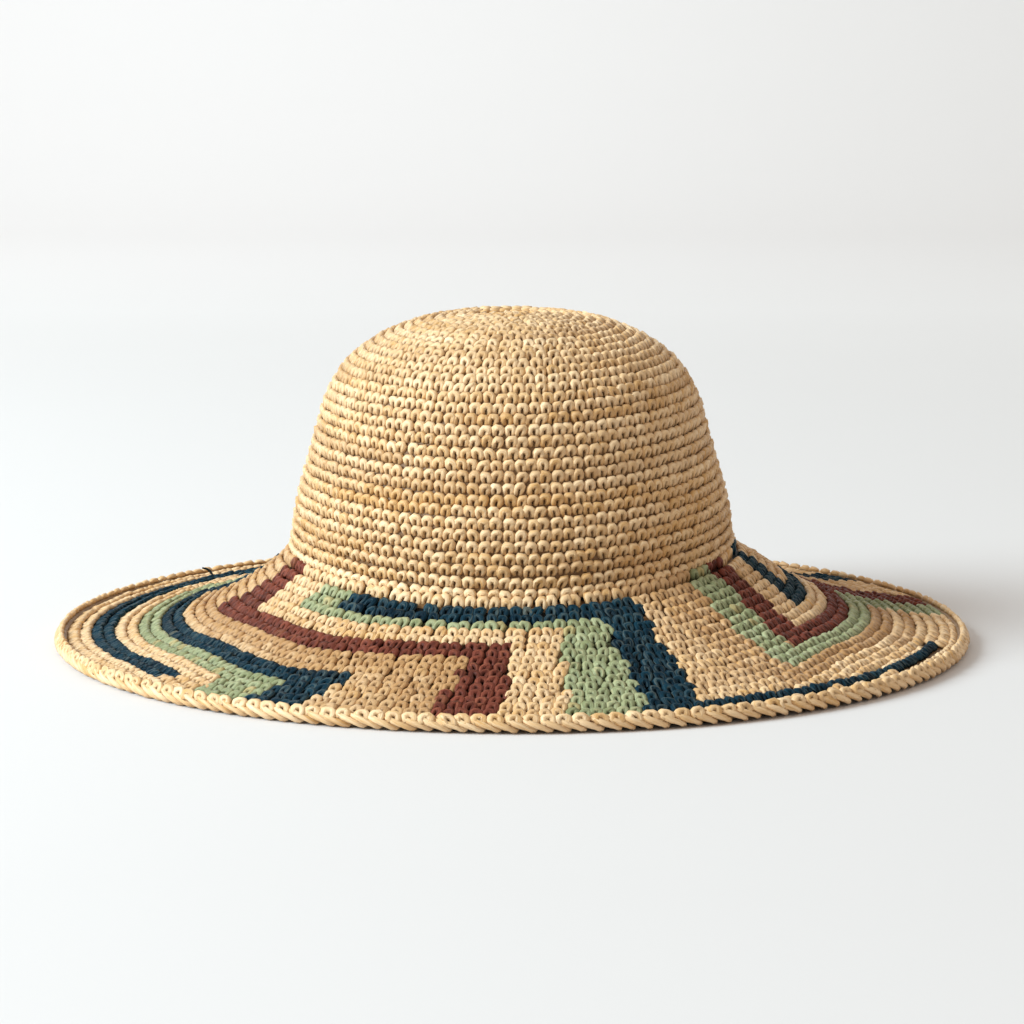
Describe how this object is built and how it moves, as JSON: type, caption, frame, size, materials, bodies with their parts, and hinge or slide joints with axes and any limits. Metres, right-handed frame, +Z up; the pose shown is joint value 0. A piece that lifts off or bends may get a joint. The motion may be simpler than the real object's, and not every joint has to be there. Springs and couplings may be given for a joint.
{
  "type": "straw cloche hat",
  "caption": "Hat worked in rounds of raffia, with a domed crown, a wide flared brim of geometric colour bands and a rope edge.",
  "frame": {"origin": "middle of the rim on the surface the hat stands on", "axes": "+Z up through the crown, the front of the hat towards -Y, +X to the right as seen from the front"},
  "size_m": [0.3896, 0.3896, 0.1396],
  "materials": {
    "natural_raffia": "matte worked straw",
    "brim_raffia": "matte worked straw, natural with coloured bands",
    "edge_raffia": "matte straw cord",
    "navy_raffia": "matte dyed straw",
    "sage_raffia": "matte dyed straw",
    "burgundy_raffia": "matte dyed straw"
  },
  "bodies": {
    "root": {"crown_top": "natural_raffia", "crown_side": "natural_raffia", "brim": "brim_raffia", "edge_cord": "edge_raffia"}
  },
  "joints": []
}
